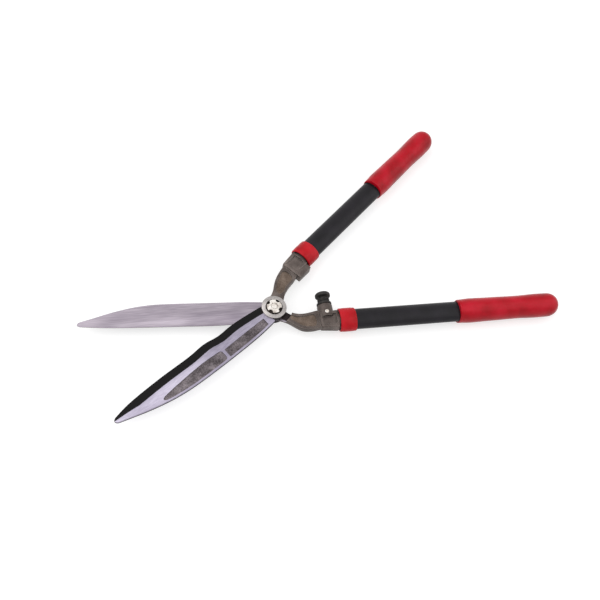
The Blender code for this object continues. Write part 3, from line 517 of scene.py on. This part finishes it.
BUMPER_STEPS = 48
WELL_RADIUS = 4.9 * MM
WELL_DEPTH = 6.4 * MM
NECK_RADIUS = 7.9 * MM
NECK_ROUND = 0.5 * MM
RIBS = 3
RIB_ROUND = 0.2 * MM
RIB_GROOVE = 0.9 * MM
# Shares of a rib's pitch, down from its top: where the rib ends, the groove starts and it ends
RIB_END, GROOVE_START, GROOVE_END = 0.5, 0.62, 0.92
FLANGE_HEIGHT = 2.8 * MM
FLANGE_ROUND = 0.6 * MM
FOOT_ROUND = 0.5 * MM

STEM_RADIUS = 4.6 * MM
STEM_ROUND = 0.4 * MM
HEAD_HEIGHT = 6.2 * MM
# (height above the head's underside, how far inside its full radius)
HEAD_EDGE = [(0.0, 1.3 * MM), (0.4 * MM, 0.4 * MM), (1.2 * MM, 0.0)]
DOME_HEIGHT = 2.9 * MM
DOME_FLAT = 0.30
DOME_STEPS = 8


def turned(pairs):
    """Round rings from (height, radius) pairs."""
    return [(height, radius, radius) for height, radius in pairs]


def on_boss(low, high):
    """The place of a piece grown along Z that stands at the foot of a span on the boss."""
    foot = Vector(((low.x + high.x) / 2, high.y, (low.z + high.z) / 2))
    return REAR @ Matrix.Translation(foot) @ TOWARD_OTHER_HANDLE


def bumper():
    """The ribbed rubber sleeve on the boss, and the mushroom cap whose stem slides in it."""
    low, high = span("bumper_body", REAR)
    height, flange = high.y - low.y, (high.x - low.x) / 2
    pitch = (height - FLANGE_HEIGHT) / RIBS
    pairs = [(height - WELL_DEPTH, WELL_RADIUS), (height, WELL_RADIUS),
             (height, NECK_RADIUS - NECK_ROUND)]
    for i in range(RIBS):
        top = height - i * pitch
        pairs += [(top - RIB_ROUND, NECK_RADIUS), (top - pitch * RIB_END, NECK_RADIUS),
                  (top - pitch * GROOVE_START, NECK_RADIUS - RIB_GROOVE),
                  (top - pitch * GROOVE_END, NECK_RADIUS - RIB_GROOVE)]
    pairs += [(FLANGE_HEIGHT, flange - FLANGE_ROUND), (FLANGE_HEIGHT - FLANGE_ROUND, flange),
              (FOOT_ROUND, flange), (0.0, flange - FOOT_ROUND)]
    piece = put(grown("bumper_sleeve", turned(pairs), BUMPER_STEPS), on_boss(low, high))
    belongs(piece, "rubber", "rear_half", "black_rubber", "bumper_body")

    low, high = span("bumper_cap", REAR)
    height, head = high.y - low.y, (high.x - low.x) / 2
    under, dome = height - HEAD_HEIGHT, height - DOME_HEIGHT
    pairs = [(0.0, STEM_RADIUS - STEM_ROUND), (STEM_ROUND, STEM_RADIUS), (under, STEM_RADIUS)]
    pairs += [(under + above, head - inset) for above, inset in HEAD_EDGE]
    pairs.append((dome, head))
    for i in range(1, DOME_STEPS + 1):
        angle = math.pi / 2 * i / DOME_STEPS
        pairs.append((dome + DOME_HEIGHT * math.sin(angle),
                      head * (DOME_FLAT + (1 - DOME_FLAT) * math.cos(angle))))
    piece = put(grown("bumper_mushroom", turned(pairs), BUMPER_STEPS), on_boss(low, high))
    belongs(piece, "rubber", "bumper_head", "black_rubber", "bumper_cap")


# ---------------------------------------------------------------- forged halves

MERGE_WITHIN = 0.002 * MM
FLAT_WITHIN = math.radians(0.4)
FORGING_SMOOTH = 28

FLAT = 0.9
SIDEWAYS = 0.3
MEETING_FACE = 0.5 * MM
BEHIND_PIVOT = -4 * MM
HUB_REACH = 16.6 * MM
HUB_CHAMFER = 15 * MM
HUB_FACE = 6.3 * MM
BLADE_START = 12 * MM
BLADE_LENGTH = 245.5 * MM
ROOT_THICKNESS = 6.15 * MM
THINNER_AT_TIP = 3.4 * MM
BEVEL_TILT = 0.05
PANEL_FLOOR = 0.6 * MM
PANEL_WALL = (0.2 * MM, 0.8 * MM)
SWING_REACH = 24 * MM
SWING_HEIGHT = 0.6 * MM
ARM_PANEL_END = 56 * MM
ARM_PANEL_FLOOR = (2.8 * MM, 3.3 * MM)
ARM_PANEL_WALL = (3.2 * MM, 4.1 * MM)
SOCKET_LINE = (59 * MM, 79 * MM)
SOCKET_LINE_RISE = (5.4 * MM, 7.2 * MM)
ZONES = ("forged", "ground", "hub", "black", "recess", "groove", "arm_recess")


def forged_half(half_name, half, lean):
    """The forged half, each face finished by where it lies and which way it faces: ground flats
    and hub, blackened bevel, rough recesses with near-black walls, oiled arm, and near-black
    painted shade round the nut and between the halves."""
    source = frame["nodes"][half_name + "_blade"]
    piece = bpy.data.objects.new(half_name + "_forging", source.data.copy())
    bpy.context.scene.collection.objects.link(piece)
    deselect()
    piece.select_set(True)
    bpy.context.view_layer.objects.active = piece
    bpy.ops.mesh.customdata_custom_splitnormals_clear()
    bpy.ops.object.mode_set(mode="EDIT")
    bpy.ops.mesh.select_all(action="SELECT")
    bpy.ops.mesh.remove_doubles(threshold=MERGE_WITHIN)
    bpy.ops.mesh.dissolve_limited(angle_limit=FLAT_WITHIN)
    bpy.ops.object.mode_set(mode="OBJECT")
    piece.data.materials.clear()
    for part in ZONES:
        finish = half_name + "_ground" if part == "ground" else part
        piece.data.materials.append(FINISHES[finish])
    inverse = half.inverted()
    turn = inverse.to_3x3()
    low, high = span(half_name + "_tube", half)
    axis_z = (low.z + high.z) / 2
    for face in piece.data.polygons:
        centre, normal = inverse @ face.center, turn @ face.normal
        face.material_index = ZONES.index(zone(centre, normal, lean, axis_z))
    put(piece, Matrix(), FORGING_SMOOTH)
    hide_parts(half_name + "_blade")
    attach(piece, half_name + "_half")


def within(value, limits):
    return limits[0] < value < limits[1]


def zone(centre, normal, lean, axis_z):
    """Which finish a face of the forging has, from where it lies and which way it faces."""
    along = -centre.x * math.cos(lean) + centre.y * math.sin(lean)
    toward_edge = normal.x * math.sin(lean) + normal.y * math.cos(lean)
    radius = math.hypot(centre.x, centre.y)
    # The meeting face behind the pivot is near-black: painted shade between the two halves.
    if normal.z < -FLAT and abs(centre.z) < MEETING_FACE:
        return "ground" if along > BEHIND_PIVOT or radius < HUB_REACH else "groove"
    # Round the hub, all but its top face is near-black: painted shade in the counterbore round the nut
    # and on the hub's sides.
    if radius < HUB_REACH:
        outer = centre.z > HUB_FACE and (normal.z > SIDEWAYS or radius > HUB_CHAMFER)
        return "hub" if outer else "groove"
    if along > BLADE_START:
        return blade_zone(along, centre, normal, toward_edge)
    return arm_zone(centre, normal, radius, axis_z)


def blade_zone(along, centre, normal, toward_edge):
    """The blade: blackened bevel, ground flat, rough panels with near-black walls."""
    depth = ROOT_THICKNESS - THINNER_AT_TIP * along / BLADE_LENGTH - centre.z
    if normal.z > 0.5:
        if toward_edge > BEVEL_TILT:
            return "black"
        return "recess" if depth > PANEL_FLOOR else "ground"
    panel_wall = within(depth, PANEL_WALL) and abs(normal.z) < SIDEWAYS
    return "groove" if panel_wall or toward_edge < -0.5 else "forged"


def arm_zone(centre, normal, radius, axis_z):
    """The arm: painted shade round the hub under the other half, its sunk panel, the near-black line
    round it and on the socket, and bare forging.
    """
    sideways = abs(normal.z) < SIDEWAYS
    rise = abs(centre.z - axis_z)
    # Lower faces round the hub, under the other half, are near-black: painted shade.
    if radius < SWING_REACH and centre.z < SWING_HEIGHT:
        return "groove"
    if centre.x < ARM_PANEL_END:
        if abs(normal.z) > FLAT and within(rise, ARM_PANEL_FLOOR):
            return "arm_recess"
        if sideways and within(rise, ARM_PANEL_WALL):
            return "groove"
    if sideways and within(rise, SOCKET_LINE_RISE) and within(centre.x, SOCKET_LINE):
        return "groove"
    return "forged"


for half_name, half, lean in (("front", FRONT, FRONT_LEAN), ("rear", REAR, REAR_LEAN)):
    forged_half(half_name, half, lean)
    grip(half_name, half)
    collar(half_name, half)
bumper()


# ---------------------------------------------------------------- floor, light and camera

FLOOR_SIZE = 8.0
FLOOR_GAP = 1.0 * MM
FLOOR_GLOW = 0.62
ROOM_LIGHT = 0.45


def seen(tree):
    """1 for a ray from the camera, off a shiny face or through a clear one, and 0 for the rest."""
    path = add(tree, "LightPath")
    direct = add(tree, "Math", {0: path.outputs["Is Camera Ray"], 1: path.outputs["Is Glossy Ray"]},
                 operation="MAXIMUM")
    both = add(tree, "Math", {0: direct.outputs[0], 1: path.outputs["Is Transmission Ray"]},
               operation="MAXIMUM")
    return both.outputs[0]


def room():
    """A pale floor just under the shears, and an even pale world round it."""
    bottom = CAD_BOX[0][2] - FLOOR_GAP
    deselect()
    bpy.ops.mesh.primitive_plane_add(size=FLOOR_SIZE, location=(0, 0, bottom))
    floor = bpy.context.active_object
    floor.name = "floor"
    material = bpy.data.materials.new("pale_floor")
    material.use_nodes = True
    tree = material.node_tree
    tree.nodes.remove(tree.nodes["Principled BSDF"])
    lift = add(tree, "Math", {0: seen(tree), 1: FLOOR_GLOW}, operation="MULTIPLY")
    glow = add(tree, "Emission", {"Color": linear("#ffffff"), "Strength": lift.outputs[0]})
    matt = add(tree, "BsdfDiffuse", {"Color": linear("#c8c8c8")})
    both = add(tree, "AddShader", {0: glow.outputs[0], 1: matt.outputs[0]})
    tree.links.new(both.outputs[0], tree.nodes["Material Output"].inputs["Surface"])
    floor.data.materials.append(material)

    world = bpy.data.worlds.new("pale_room")
    bpy.context.scene.world = world
    world.use_nodes = True
    tree = world.node_tree
    strength = add(tree, "MapRange", {"Value": seen(tree), "To Min": ROOM_LIGHT, "To Max": 1.0})
    background = tree.nodes["Background"]
    background.inputs["Color"].default_value = linear("#ffffff")
    tree.links.new(strength.outputs[0], background.inputs["Strength"])


def lamp(name, place, size, power, target=(0, 0, 0)):
    """A square soft lamp that faces the shears."""
    light = bpy.data.lights.new(name, "AREA")
    light.size = size
    light.energy = power
    obj = bpy.data.objects.new(name, light)
    obj.location = place
    obj.rotation_euler = (Vector(target) - Vector(place)).to_track_quat("-Z", "Y").to_euler()
    bpy.context.scene.collection.objects.link(obj)


def camera():
    """The camera: its right, down and forward directions, and its place in metres."""
    right = Vector((0.85936, -0.49075, 0.14372))
    down = Vector((-0.37362, -0.79446, -0.47879))
    forward = Vector((0.34915, 0.35776, -0.86608))
    eye = Vector((-0.34012, -0.39021, 0.95053))
    data = bpy.data.cameras.new("camera")
    data.lens = 50
    data.sensor_width = 36
    data.clip_start = 0.01
    obj = bpy.data.objects.new("camera", data)
    turn = Matrix((right, -down, -forward)).transposed()
    obj.matrix_world = Matrix.Translation(eye) @ turn.to_4x4()
    bpy.context.scene.collection.objects.link(obj)
    bpy.context.scene.camera = obj


room()
lamp("key", (-0.9, 0.5, 1.6), 2.4, 24)
lamp("fill", (1.1, -0.8, 1.3), 2.0, 10)
camera()
bpy.context.scene.view_settings.view_transform = "Standard"
